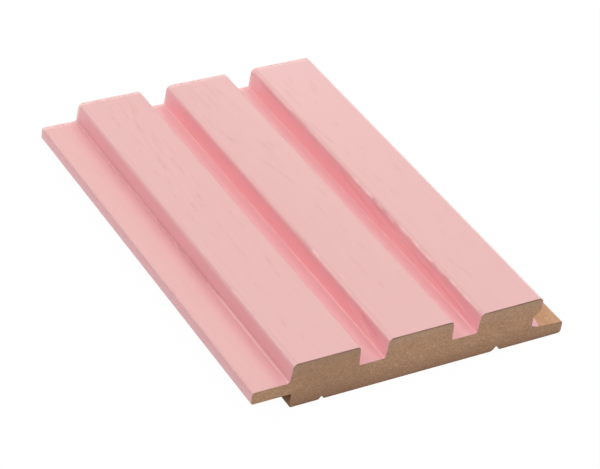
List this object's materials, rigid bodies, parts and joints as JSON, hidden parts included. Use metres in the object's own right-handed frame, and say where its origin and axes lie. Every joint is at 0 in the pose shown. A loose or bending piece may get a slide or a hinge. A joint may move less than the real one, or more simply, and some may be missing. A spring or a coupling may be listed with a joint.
{
  "type": "mdf wall panel",
  "caption": "Slatted wall panel milled from fibreboard: flat ribs with grooves between, a thin lip along one edge and a tongue under the other, painted on the ribbed face.",
  "frame": {"origin": "middle of the flat back, halfway along the length and halfway across the overall width", "axes": "+X across the width from the lip to the tongue, +Y along the ribs, +Z out of the wall to the ribbed face"},
  "size_m": [0.122, 0.162, 0.018],
  "materials": {
    "painted_fibreboard": "matt pink paint over a faint wood grain, with bare brown fibreboard on the cut ends, the back and the joint"
  },
  "bodies": {
    "root": {"wall_panel": "painted_fibreboard"}
  },
  "joints": []
}
